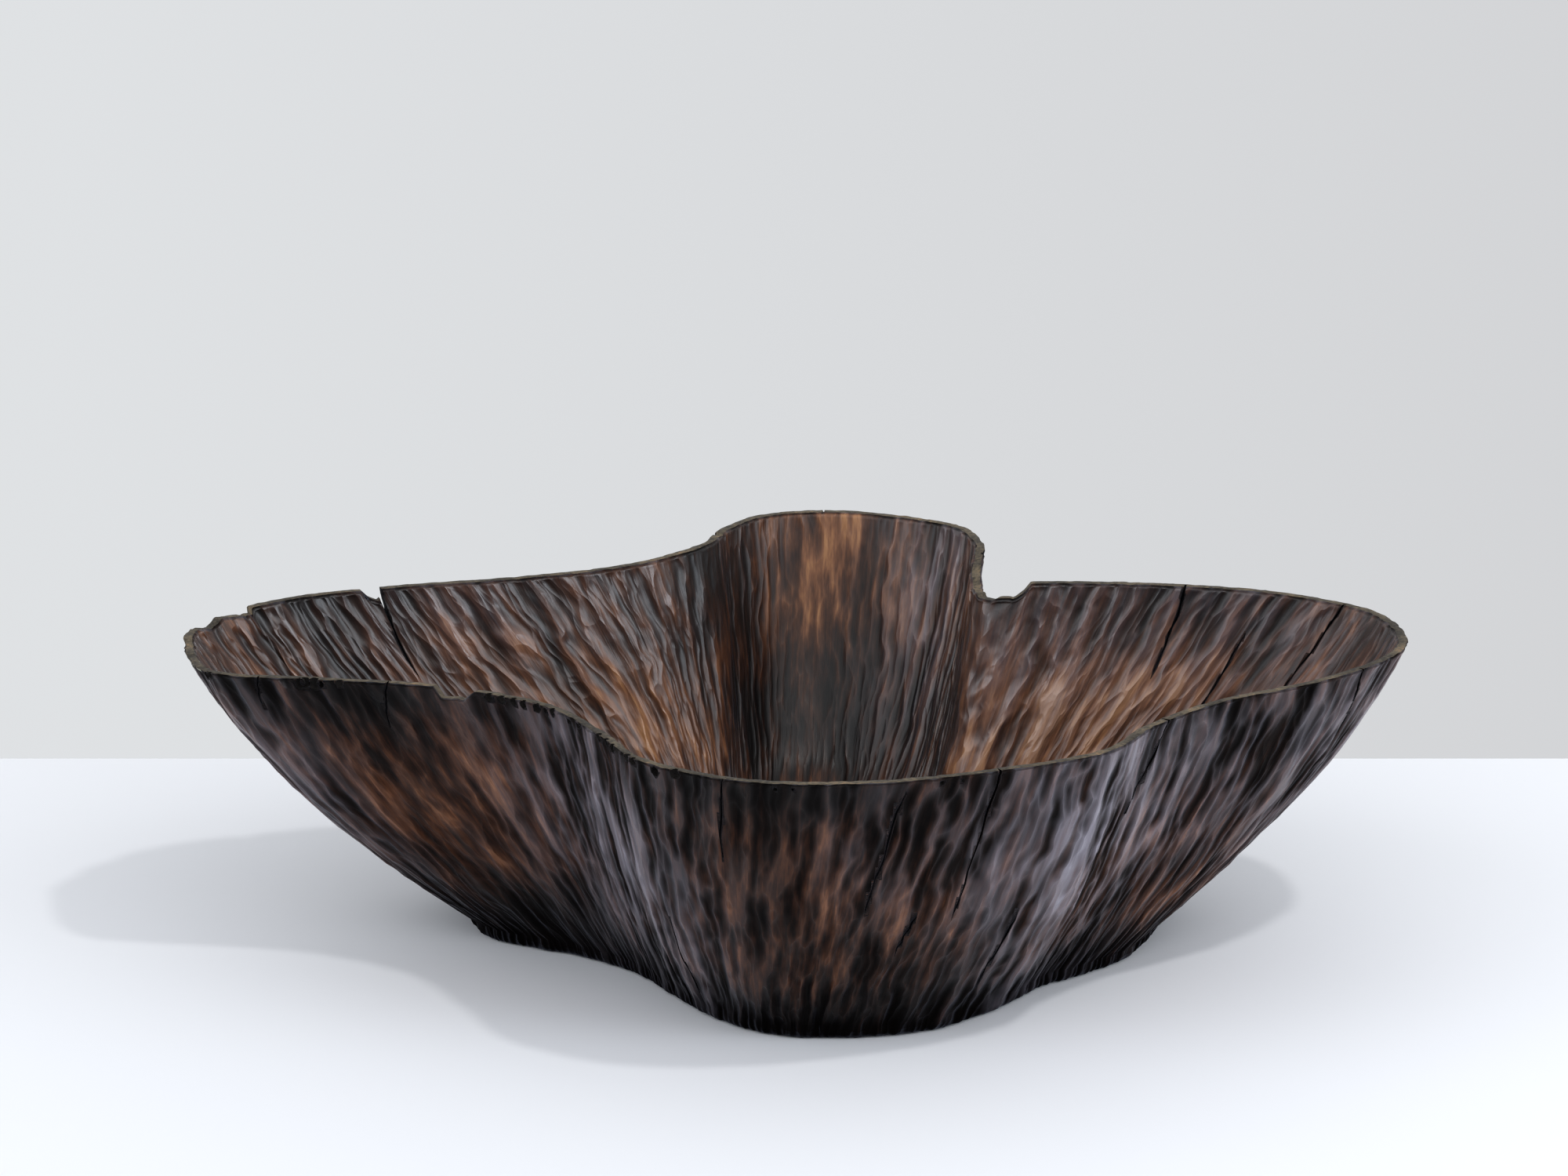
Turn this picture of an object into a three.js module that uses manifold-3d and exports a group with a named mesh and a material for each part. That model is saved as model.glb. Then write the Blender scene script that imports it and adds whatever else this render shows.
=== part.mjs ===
// A wide four-lobed bowl, carved from one length of a fluted trunk.
//
// Millimetres, +Z up. The origin is on the underside, below the middle of the rim. +X is the
// right-hand arm and +Y the deep back lobe. The whole bowl is one piece of wood: the grain,
// the gouge marks and the drying splits run through it without a joint, so it is one solid.
// Its surface is left smooth here. The rim is a flat saw cut, chipped in three places.

import * as THREE from 'three';
import { mergeVertices } from 'three/addons/utils/BufferGeometryUtils.js';
import Module from 'manifold-3d';

// ---- driving dimensions ----

const rimWidth = 650;        // over the tips of the left and right arms
const rimDepth = 502;        // from the front lobe to the back lobe
const footWidth = 361;       // the same two measures where the bowl stands
const footDepth = 316;
const footShiftX = 9.5;      // middle of the foot from the middle of the rim
const footShiftY = -3;
const height = 165;

const rimWall = 7.5;         // wall thickness, measured level, at the rim
const footWall = 13;         // and at the foot
const floorThickness = 20;
const floorDish = 4;         // how much lower the floor is in the middle
const wallBulge = 0.45;      // 0 is a straight wall, 1 leaves the foot at twice the mean flare
const footRound = 8;         // rounded edge under the wall
const floorSweep = 45;       // how far the wall's curve runs out over the floor

const backNotch = { station: 4.88, width: 30, depth: 8 };
const frontNotch = { station: 21.15, width: 18, depth: 6 };
const endChips = [
  { station: 16.75, width: 14, depth: 5 },
  { station: 17.5, width: 20, depth: 6 },
];
const split = { station: 15.27, width: 5, depth: 46 };
const cutClearance = 3;      // how far each cutter passes the wall it cuts

// ---- fineness ----

const columns = 108;         // around the bowl
const wallRows = 10;         // up each side of the wall
const roundRows = 3;
const sweepRows = 5;
const floorRings = 3;

// ---- outlines ----
// One point of each list lies on the same upright line of the wall, anticlockwise from the tip
// of the right arm. Only their shape counts: each outline is scaled to its width and depth.

const rimShape = [
  [325, -3], [312, 50], [262, 87], [200, 103], [150, 107], [112, 109],
  [105, 142], [107, 184], [90, 224], [32, 251], [-16, 245],
  [-42, 214], [-56, 178], [-95, 140], [-150, 117], [-215, 100],
  [-275, 76], [-312, 40], [-325, -5], [-305, -64],
  [-245, -78], [-185, -90], [-130, -122], [-102, -166], [-78, -212],
  [-25, -245], [40, -247], [105, -226], [155, -198],
  [182, -155], [218, -116], [270, -82], [310, -42],
];

const footShape = [
  [190, 12], [182, 42], [160, 66], [126, 72], [96, 74], [76, 76],
  [67, 98], [62, 121], [49, 142], [20, 155], [-12, 151],
  [-28, 133], [-37, 112], [-58, 92], [-88, 82], [-120, 80],
  [-148, 74], [-166, 52], [-171, 18], [-162, -14],
  [-142, -28], [-112, -44], [-82, -70], [-62, -103], [-42, -134],
  [-12, -160], [28, -164], [70, -153], [103, -122],
  [125, -92], [148, -73], [171, -49], [185, -18],
];

// A closed smooth curve through an outline's points, scaled to its size.
function fitOutline(shape, width, depth, shiftX, shiftY) {
  const draw = (points) => new THREE.CatmullRomCurve3(
    points.map(([x, y]) => new THREE.Vector3(x, y, 0)), true, 'catmullrom', 0.5);
  const box = new THREE.Box3().setFromPoints(draw(shape).getPoints(columns * 8));
  const middle = box.getCenter(new THREE.Vector3());
  const size = box.getSize(new THREE.Vector3());
  return draw(shape.map(([x, y]) => [
    (x - middle.x) * width / size.x + shiftX,
    (y - middle.y) * depth / size.y + shiftY,
  ]));
}

const rim = fitOutline(rimShape, rimWidth, rimDepth, 0, 0);
const foot = fitOutline(footShape, footWidth, footDepth, footShiftX, footShiftY);

// The level direction out of an outline at u, from 0 to 1 around it.
function outward(outline, u) {
  const along = outline.getTangent(u);
  return new THREE.Vector3(along.y, -along.x, 0).normalize();
}

// ---- the wall ----

// The outer face at u around and z up.
function outerPoint(u, z) {
  const low = foot.getPoint(u);
  const out = outward(foot, u);
  if (z < footRound) {
    low.addScaledVector(out, Math.sqrt(z * (2 * footRound - z)));
    return low.setZ(z);
  }
  low.addScaledVector(out, footRound);
  const t = (z - footRound) / (height - footRound);
  return low.lerp(rim.getPoint(u), t + wallBulge * t * (1 - t)).setZ(z);
}

// The inner face: the outer one moved in by the wall, which thickens towards the foot.
function innerPoint(u, z) {
  const t = z / height;
  const wall = THREE.MathUtils.lerp(footWall, rimWall, t);
  const out = outward(foot, u).lerp(outward(rim, u), t).normalize();
  return outerPoint(u, z).addScaledVector(out, -wall);
}

// The curve from the wall on to the floor: from where the wall leaves its own line, by the
// corner that the wall and the floor would make, to a point out on the floor.
function sweepPoint(u, t) {
  const top = innerPoint(u, floorThickness + floorSweep / 2);
  const corner = innerPoint(u, floorThickness);
  const reach = Math.min(1, floorSweep / Math.hypot(corner.x, corner.y));
  const onFloor = corner.clone().lerp(new THREE.Vector3(0, 0, floorThickness - floorDish), reach);
  return new THREE.QuadraticBezierCurve3(top, corner, onFloor).getPoint(t);
}

// ---- the closed surface ----

// Rings of points from the edge of the underside, up the outside, over the rim and down to
// the floor.
function bowlRings() {
  const levels = [];
  for (let i = 0; i < roundRows; i += 1) {
    const turn = (i / roundRows) * Math.PI / 2;
    levels.push(footRound * (1 - Math.cos(turn)));
  }
  for (let i = 0; i <= wallRows; i += 1) {
    levels.push(THREE.MathUtils.lerp(footRound, height, i / wallRows));
  }
  const sweepTop = floorThickness + floorSweep / 2;
  const makers = levels.map((z) => (u) => outerPoint(u, z));
  for (let i = wallRows; i > 0; i -= 1) {
    const z = THREE.MathUtils.lerp(sweepTop, height, i / wallRows);
    makers.push((u) => innerPoint(u, z));
  }
  for (let i = 0; i <= sweepRows; i += 1) {
    makers.push((u) => sweepPoint(u, i / sweepRows));
  }
  const centre = new THREE.Vector3(0, 0, floorThickness - floorDish);
  for (let i = 1; i < floorRings; i += 1) {
    makers.push((u) => sweepPoint(u, 1).lerp(centre, i / floorRings));
  }
  const around = evenSteps();
  return makers.map((maker) => around.map(maker));
}

// Places around the outlines that are evenly spaced along the rim.
function evenSteps() {
  const steps = [];
  for (let i = 0; i < columns; i += 1) {
    steps.push(rim.getUtoTmapping(i / columns));
  }
  return steps;
}

function bowlGeometry() {
  const rings = bowlRings();
  const points = rings.flat();
  const faces = [];
  for (let row = 0; row < rings.length - 1; row += 1) {
    for (let i = 0; i < columns; i += 1) {
      const next = (i + 1) % columns;
      const a = row * columns + i;
      const b = row * columns + next;
      faces.push(a, b, b + columns, a, b + columns, a + columns);
    }
  }
  const centre = points.push(new THREE.Vector3(0, 0, floorThickness - floorDish)) - 1;
  const last = (rings.length - 1) * columns;
  for (let i = 0; i < columns; i += 1) {
    faces.push(last + i, last + (i + 1) % columns, centre);
  }
  const edge = rings[0].map((point) => new THREE.Vector2(point.x, point.y));
  for (const [a, b, c] of THREE.ShapeUtils.triangulateShape(edge, [])) {
    faces.push(a, c, b);
  }
  const geometry = new THREE.BufferGeometry().setFromPoints(points);
  geometry.setIndex(faces);
  return geometry;
}

// ---- chips and the split ----

// A block astride the wall at a place on the rim, as wide as the chip and as deep below the
// rim. A wedge narrows to nothing at its lower end, and follows the lean of the wall's grain.
function rimCutter({ station, width, depth }, isWedge) {
  const u = station / rimShape.length;
  const up = new THREE.Vector3(0, 0, 1);
  const out = outward(rim, u);
  const across = new THREE.Vector3().crossVectors(up, out);
  const high = outerPoint(u, height);
  const fall = innerPoint(u, height - depth).sub(high);
  const reach = 2 * cutClearance - fall.dot(out);
  const profile = new THREE.Shape();
  profile.moveTo(-width / 2, cutClearance);
  profile.lineTo(isWedge ? fall.dot(across) : -width / 2, -depth);
  if (!isWedge) {
    profile.lineTo(width / 2, -depth);
  }
  profile.lineTo(width / 2, cutClearance);
  const block = new THREE.ExtrudeGeometry(profile, { depth: reach, bevelEnabled: false });
  const start = high.clone().addScaledVector(out, cutClearance - reach);
  block.applyMatrix4(new THREE.Matrix4().makeBasis(across, up, out).setPosition(start));
  return block;
}

const wasm = await Module();
wasm.setup();

function toSolid(geometry) {
  const bare = geometry.clone();
  bare.deleteAttribute('normal');
  bare.deleteAttribute('uv');
  const merged = mergeVertices(bare, 1e-4);
  return new wasm.Manifold(new wasm.Mesh({
    numProp: 3,
    vertProperties: new Float32Array(merged.attributes.position.array),
    triVerts: new Uint32Array(merged.index.array),
  }));
}

function toGeometry(solid) {
  const mesh = solid.getMesh();
  const geometry = new THREE.BufferGeometry();
  geometry.setAttribute('position', new THREE.BufferAttribute(mesh.vertProperties, 3));
  geometry.setIndex(new THREE.BufferAttribute(mesh.triVerts, 1));
  geometry.computeVertexNormals();
  return geometry;
}

function carvedBowl() {
  let solid = toSolid(bowlGeometry());
  for (const chip of [backNotch, frontNotch, ...endChips]) {
    solid = solid.subtract(toSolid(rimCutter(chip, false)));
  }
  return toGeometry(solid.subtract(toSolid(rimCutter(split, true))));
}

// ---- the object ----

const burntWood = new THREE.MeshStandardMaterial({
  color: 0x3b2317,
  roughness: 0.5,
  metalness: 0,
});

const bowl = new THREE.Mesh(carvedBowl(), burntWood);
bowl.name = 'bowl';

const group = new THREE.Group();
group.add(bowl);

export default group;
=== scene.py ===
"""The looks of a wide four-lobed bowl, gouged from one length of a fluted trunk.

The wood was charred black, rubbed back until its own copper brown showed on the ridges
between the gouge marks, and waxed. Lengths are in metres.
"""
import math

import bmesh
import bpy
import numpy as np
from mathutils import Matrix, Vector
from mathutils.geometry import delaunay_2d_cdt


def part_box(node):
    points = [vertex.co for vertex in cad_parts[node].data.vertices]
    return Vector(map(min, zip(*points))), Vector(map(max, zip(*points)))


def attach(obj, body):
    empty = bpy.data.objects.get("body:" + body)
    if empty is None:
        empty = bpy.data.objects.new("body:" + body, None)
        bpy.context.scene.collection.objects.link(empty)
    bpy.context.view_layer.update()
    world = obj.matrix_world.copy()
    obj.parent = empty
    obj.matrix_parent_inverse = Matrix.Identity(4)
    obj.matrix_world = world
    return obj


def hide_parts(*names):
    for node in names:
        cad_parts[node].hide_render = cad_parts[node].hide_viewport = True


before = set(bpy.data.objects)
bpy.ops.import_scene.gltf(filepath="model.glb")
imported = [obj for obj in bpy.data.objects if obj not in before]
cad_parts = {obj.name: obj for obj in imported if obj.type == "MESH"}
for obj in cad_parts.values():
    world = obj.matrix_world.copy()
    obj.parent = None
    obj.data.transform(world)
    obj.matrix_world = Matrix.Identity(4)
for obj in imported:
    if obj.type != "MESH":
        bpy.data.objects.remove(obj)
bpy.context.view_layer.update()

MM = 0.001

# ---- sizes: the overall ones from the frame, the walls as in the solid model ----

low_corner, high_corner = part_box("bowl")
RIM_WIDTH = 2 * high_corner.x
RIM_DEPTH = 2 * high_corner.y
HEIGHT = high_corner.z
FOOT_WIDTH = 361 * MM
FOOT_DEPTH = 316 * MM
FOOT_SHIFT = np.array([9.5, -3]) * MM
RIM_WALL = 7.5 * MM
FOOT_WALL = 13 * MM
FLOOR = 20 * MM
FLOOR_DISH = 4 * MM
FLOOR_SWEEP = 45 * MM
FOOT_ROUND = 8 * MM
WALL_BULGE = 0.45
EDGE_DROP = 0.8 * MM    # the walls end this far below the flat cut, so its edges are eased

# Each outline runs anticlockwise from the tip of the right arm; a station is a place in it.
RIM_SHAPE = [
    (325, -3), (312, 50), (262, 87), (200, 103), (150, 107), (112, 109),
    (105, 142), (107, 184), (90, 224), (32, 251), (-16, 245),
    (-42, 214), (-56, 178), (-95, 140), (-150, 117), (-215, 100),
    (-275, 76), (-312, 40), (-325, -5), (-305, -64),
    (-245, -78), (-185, -90), (-130, -122), (-102, -166), (-78, -212),
    (-25, -245), (40, -247), (105, -226), (155, -198),
    (182, -155), (218, -116), (270, -82), (310, -42),
]
FOOT_SHAPE = [
    (190, 12), (182, 42), (160, 66), (126, 72), (96, 74), (76, 76),
    (67, 98), (62, 121), (49, 142), (20, 155), (-12, 151),
    (-28, 133), (-37, 112), (-58, 92), (-88, 82), (-120, 80),
    (-148, 74), (-166, 52), (-171, 18), (-162, -14),
    (-142, -28), (-112, -44), (-82, -70), (-62, -103), (-42, -134),
    (-12, -160), (28, -164), (70, -153), (103, -122),
    (125, -92), (148, -73), (171, -49), (185, -18),
]
STATIONS = len(RIM_SHAPE)

# ---- fineness: the gouge marks are real relief, so columns are much closer than a mark ----

COLUMNS = 1340          # round the bowl
WALL_ROWS = 24          # up each face of the wall, more closely spaced near the rim
RIM_ROWS = 4
RIM_ROWS_FROM = 0.93    # share of the height
ROUND_ROWS = 4          # round the edge of the foot
SWEEP_ROWS = 9          # from the inner wall into the floor
FLOOR_GRID = 4 * MM
COARSE_STEP = 8         # every so many points of the floor's edge are enough to measure from
SEAM_FADE = 22 * MM     # the marks of wall and floor both fade out where they meet
SEAM_DEPTH = 0.2
# rows across the flat of the rim: share of its thickness, seed of their wander
RIM_FLAT = ((0.22, 11), (0.5, 12), (0.80, 13))

# ---- damage to the rim: station and depth in mm below the flat cut, straight in between ----

DAMAGE = [
    (4.48, 0), (4.56, 5), (4.70, 8.5), (5.00, 9.5), (5.50, 10.5), (5.90, 9), (6.25, 5), (6.60, 1.5),
    (6.80, 0), (11.25, 0), (11.32, 1.6), (11.42, 0), (15.21, 0), (15.25, 7.0), (15.33, 4.0),
    (15.36, 0.3), (15.45, 0), (16.52, 0), (16.54, 3.8), (17.02, 0.5), (17.27, 3.4), (17.55, 0),
    (17.90, 0), (18.20, 1.4), (18.90, 1.0), (19.10, 0), (20.97, 0), (21.00, 6.0), (21.22, 5.4),
    (21.33, 0),
]
DAMAGE_REACH = 28 * MM  # how far below the rim the wall gives way to it
LEFT_END = 18.2         # station of the end that is worn most
LEFT_END_REACH = 60 * MM

SPLIT_STATION = 15.215
SPLIT_WIDTH = 3.0 * MM
SPLIT_DEPTH = 48 * MM
SPLIT_SLANT = 4.5 * MM  # how far it moves sideways through the wall

# side, station at the top and at the bottom, top and bottom as shares of the height, width
# at the widest place and depth into the wall in mm
CRACKS = [
    ("in", 2.76, 2.76, 1.02, 0.72, 1.3, 5),
    ("in", 1.30, 1.43, 1.02, 0.70, 1.0, 4),
    ("in", 2.10, 2.15, 0.86, 0.60, 0.7, 3),
    ("out", 29.26, 28.86, 1.02, 0.70, 1.4, 5),
    ("out", 31.56, 31.82, 1.02, 0.75, 0.9, 3),
    ("out", 26.93, 26.75, 1.02, 0.50, 1.1, 4),
    ("out", 26.20, 25.98, 0.96, 0.54, 0.8, 4),
    ("out", 24.80, 24.74, 1.00, 0.72, 0.8, 3),
    ("out", 20.58, 20.42, 1.02, 0.84, 0.9, 4),
    ("out", 19.50, 19.40, 1.02, 0.91, 0.8, 3),
    ("out", 26.42, 26.30, 0.50, 0.36, 0.8, 4),
    ("out", 27.46, 27.30, 0.44, 0.18, 0.9, 4),
    ("out", 23.90, 24.00, 0.44, 0.10, 1.1, 4),
    ("out", 9.30, 9.35, 1.02, 0.70, 1.0, 4),
    ("out", 12.40, 12.50, 0.80, 0.50, 0.9, 4),
    ("out", 2.30, 2.30, 0.90, 0.60, 0.9, 4),
    ("out", 16.40, 16.30, 0.85, 0.55, 0.9, 4),
]

CRACK_RINGS = 26
CRACK_LIP = 1.0 * MM        # a cutter starts this far out of the face
CRACK_STRAIGHT = 3.0 * MM   # its sides are parallel so far in
SPLIT_RINGS = 24
WORM_HOLE_DEPTH = 1.8 * MM  # of their centres, in from the face

# worm holes under the rim's outer edge: first and last station, how many, radius in mm
WORM_HOLES = [
    (23.02, 24.42, 7, 2.3), (21.45, 22.15, 7, 2.1), (19.80, 19.98, 4, 2.9),
    (20.15, 20.20, 1, 2.2), (25.25, 25.35, 2, 1.2), (26.5, 26.62, 2, 1.1),
    (22.4, 22.6, 2, 1.4), (6.2, 6.6, 2, 1.3), (18.9, 19.0, 2, 1.8),
]

# Where hands and cloths rubbed the char away: side, station, height share, size in stations
# and in height, strength. Minus is where it stayed blackest.
RUBBED = [
    ("in", 9.5, 0.90, 1.3, 0.22, 0.75), ("in", 9.4, 0.66, 0.9, 0.10, 0.45),
    ("in", 9.2, 0.34, 2.0, 0.20, -0.55), ("in", 10.9, 0.60, 0.8, 0.50, -0.35),
    ("in", 12.5, 0.30, 3.0, 0.35, 0.50), ("in", 13.6, 0.55, 1.0, 0.22, 0.55),
    ("in", 3.6, 0.45, 1.4, 0.35, 0.75), ("in", 1.6, 0.60, 1.2, 0.30, 0.50),
    ("in", 3.0, 0.50, 3.5, 0.50, 0.40), ("in", 14.2, 0.88, 1.1, 0.20, 0.30),
    ("in", 17.5, 0.80, 0.7, 0.20, 0.60), ("in", 15.2, 0.60, 0.8, 0.20, 0.35),
    ("in", 15.4, 0.98, 1.4, 0.16, -0.35), ("in", 2.7, 0.98, 1.3, 0.18, -0.40),
    ("in", 7.4, 0.75, 0.7, 0.35, 0.35), ("in", 11.6, 0.85, 0.7, 0.25, -0.35),
    ("out", 20.6, 0.55, 1.2, 0.28, 0.62), ("out", 21.7, 0.78, 0.7, 0.20, 0.25),
    ("out", 21.0, 0.20, 2.0, 0.14, -0.35), ("out", 25.4, 0.60, 0.8, 0.30, 0.35),
    ("out", 26.4, 0.45, 0.8, 0.22, 0.25), ("out", 28.9, 0.35, 1.0, 0.28, 0.35),
    ("out", 31.0, 0.35, 1.4, 0.28, 0.35), ("out", 30.2, 0.92, 1.0, 0.14, -0.30),
    ("out", 23.6, 0.25, 0.8, 0.25, 0.20), ("out", 25.2, 0.99, 1.0, 0.10, -0.45),
    ("out", 20.0, 0.97, 1.5, 0.09, -0.60), ("out", 9.5, 0.50, 2.0, 0.30, 0.30),
    ("out", 14.0, 0.40, 2.0, 0.30, 0.35), ("out", 3.0, 0.50, 1.6, 0.30, 0.30),
]
# Where the marks were smoothed down again: as above, with how much of them is gone.
SHALLOW = [
    ("in", 9.4, 0.75, 1.7, 0.55, 0.85), ("in", 9.8, 0.30, 1.7, 0.35, 0.7),
    ("in", 11.5, 0.75, 0.7, 0.6, 0.55), ("out", 25.6, 0.75, 0.8, 0.35, 0.65),
    ("in", 1.0, 0.7, 1.3, 0.6, 0.5), ("in", 2.2, 0.85, 1.2, 0.3, 0.4),
]
# Painted sheen: where a cool grey is painted on the ridges in place of their glancing reflection of
# the bright table; columns as above.
PAINTED_SHEEN = [
    ("out", 28.20, 0.65, 0.90, 0.55, 1.35), ("out", 29.6, 0.60, 0.6, 0.50, 0.45),
    ("out", 27.0, 0.75, 0.7, 0.3, 0.35), ("out", 22.80, 0.66, 1.15, 0.48, 1.15),
    ("out", 32.2, 0.65, 0.9, 0.45, 0.70), ("out", 30.8, 0.75, 0.9, 0.4, 0.40),
    ("out", 19.0, 0.60, 0.7, 0.40, 0.50), ("out", 24.0, 0.30, 0.6, 0.3, 0.40),
    ("out", 26.0, 0.75, 0.5, 0.25, 0.2), ("in", 14.4, 0.85, 1.3, 0.25, 0.25),
    ("in", 7.9, 0.75, 0.6, 0.40, 0.75), ("in", 4.2, 0.70, 0.9, 0.30, 0.55),
    ("in", 2.3, 0.80, 1.6, 0.35, 0.40), ("out", 6.0, 0.60, 0.8, 0.50, 0.80),
    ("out", 12.0, 0.60, 0.8, 0.50, 0.80), ("out", 0.9, 0.60, 0.8, 0.50, 0.50),
]
# Where the broad gouge was used, as above.
BROAD = [
    ("in", 13.9, 0.6, 1.5, 0.6, 1.0), ("in", 4.4, 0.5, 1.3, 0.5, 1.0),
    ("out", 21.0, 0.5, 1.2, 0.4, 1.0),
]
# The end that weather has stripped bare, as above.
WEATHERED = [("out", 18.5, 1.02, 0.45, 0.05, 1.0)]
# Where the marks slant across the wall: side, station, size in stations, how far they move
# along the rim, clockwise from above, for each length down.
SLANTED = [
    ("in", 13.7, 1.7, 0.38), ("out", 26.4, 1.5, 0.16), ("out", 21.2, 1.3, -0.20),
    ("in", 2.6, 1.6, -0.22),
]


# ---- gouge marks: the width, length and depth of a scoop ----

FINE_WIDTH, FINE_LENGTH, FINE_DEPTH = 6.8 * MM, 62 * MM, 2.6 * MM
BROAD_WIDTH, BROAD_LENGTH, BROAD_DEPTH = 9.5 * MM, 54 * MM, 3.2 * MM
FLUTE_SHARE = 0.42      # how much of the relief is long flutes, not scoops
MARK_SEED = 3

# ---- stage ----

TABLE_SIZE = 12
TABLE_BEHIND = 45 * MM
LAMP_TARGET = (0, 0, 0.1)
# name, place, shape, size, watts, tint
LAMPS = [
    ("key", (1.24, -1.11, 3.2), "DISK", 0.22, 19, (1, 1, 1)),
    ("right_softbox", (1.9, -0.9, 0.55), "SQUARE", 0.9, 15, (0.86, 0.92, 1.0)),
    ("left_softbox", (-2.0, -0.6, 0.5), "SQUARE", 0.9, 9, (0.86, 0.92, 1.0)),
]
LOOK_DOWN = 16.32       # degrees


# ---- outlines and walls ----

def station_arc(shape, width, depth, shift):
    """A closed Catmull-Rom curve through an outline, scaled to its size: a function that
    gives points and tangents at an array of stations."""
    points = np.array(shape, float) * MM

    def curve(stations):
        first = np.floor(stations).astype(int)
        s = (stations - first)[:, None]
        a, b, c, d = (points[(first + k) % len(points)] for k in (-1, 0, 1, 2))
        place = 0.5 * (2 * b + (c - a) * s + (2 * a - 5 * b + 4 * c - d) * s ** 2
                       + (3 * b - a - 3 * c + d) * s ** 3)
        along = 0.5 * ((c - a) + 2 * (2 * a - 5 * b + 4 * c - d) * s
                       + 3 * (3 * b - a - 3 * c + d) * s ** 2)
        return place, along

    # its true size lies between the points, so it is measured 40 times between each two
    drawn = curve(np.linspace(0, len(points), 40 * len(points), endpoint=False))[0]
    middle = (drawn.max(0) + drawn.min(0)) / 2
    scale = np.array([width, depth]) / (drawn.max(0) - drawn.min(0))
    points = (points - middle) * scale + shift
    return curve


rim_curve = station_arc(RIM_SHAPE, RIM_WIDTH, RIM_DEPTH, np.zeros(2))
foot_curve = station_arc(FOOT_SHAPE, FOOT_WIDTH, FOOT_DEPTH, FOOT_SHIFT)


def level_out(along):
    """The level direction out of the bowl, from an outline's tangents."""
    out = np.column_stack([along[:, 1], -along[:, 0]])
    return out / np.linalg.norm(out, axis=1, keepdims=True)


def outer_wall(stations, z):
    """Points of the outer face at the heights z, one for each station."""
    foot, foot_along = foot_curve(stations)
    rim, _ = rim_curve(stations)
    turn = np.clip(z / FOOT_ROUND, 0, 1)
    spread = FOOT_ROUND * np.sqrt(turn * (2 - turn))
    foot = foot + level_out(foot_along) * spread[:, None]
    t = np.clip((z - FOOT_ROUND) / (HEIGHT - FOOT_ROUND), 0, None)
    lean = (t + WALL_BULGE * t * (1 - t))[:, None]
    return np.column_stack([foot + (rim - foot) * lean, z])


def wall_out(stations, z):
    """The level direction out of the wall at each station and height."""
    t = (z / HEIGHT)[:, None]
    at_foot, at_rim = level_out(foot_curve(stations)[1]), level_out(rim_curve(stations)[1])
    mixed = at_foot * (1 - t) + at_rim * t
    return mixed / np.linalg.norm(mixed, axis=1, keepdims=True)


def inner_wall(stations, z):
    """Points of the inner face: the outer one moved in by the wall's thickness."""
    wall = FOOT_WALL + (RIM_WALL - FOOT_WALL) * z / HEIGHT
    points = outer_wall(stations, z)
    points[:, :2] -= wall_out(stations, z) * wall[:, None]
    return points


def wander(count, seed, knots, size):
    """A smooth closed random line of so many values, with so many turns in it."""
    values = np.random.default_rng(seed).uniform(-size, size, knots)
    at = np.arange(count) * knots / count
    first = at.astype(int)
    ease = (1 - np.cos((at - first) * math.pi)) / 2
    return values[first] * (1 - ease) + values[(first + 1) % knots] * ease


def even_stations(count):
    """Stations that are evenly spaced along the rim, and the rim's length."""
    dense = np.linspace(0, STATIONS, 60 * STATIONS + 1)
    places = rim_curve(dense % STATIONS)[0]
    steps = np.linalg.norm(np.diff(places, axis=0), axis=1)
    length = np.concatenate([[0], np.cumsum(steps)])
    return np.interp(np.arange(count) * length[-1] / count, length, dense), length[-1]


def rim_distance(stations, station, rim_length):
    """Signed distance along the rim from one station to the others."""
    places = 2000
    dense, _ = even_stations(places)
    shares = np.arange(places) / places
    apart = np.interp(stations, dense, shares) - np.interp(station, dense, shares)
    return ((apart + 0.5) % 1 - 0.5) * rim_length


def rim_loss(stations, rim_length):
    """How far the rim is broken away below its flat cut, at each station: the placed damage,
    worn dips that are deepest at the left end, and the roughness of the saw."""
    count = len(stations)
    places, depths = np.array(DAMAGE).T
    broken = np.interp(stations, places, depths) * MM
    broken *= 1 + wander(count, seed=40, knots=500, size=0.10)
    dips = np.clip(wander(count, seed=3, knots=300, size=1.0) - 0.4, 0, 1)
    apart = rim_distance(stations, LEFT_END, rim_length)
    left_end = np.exp(-(apart / LEFT_END_REACH) ** 2)
    rough = np.abs(wander(count, seed=5, knots=500, size=0.12 * MM))
    return broken + dips * (0.5 + 1.2 * left_end) * MM + rough


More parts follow.
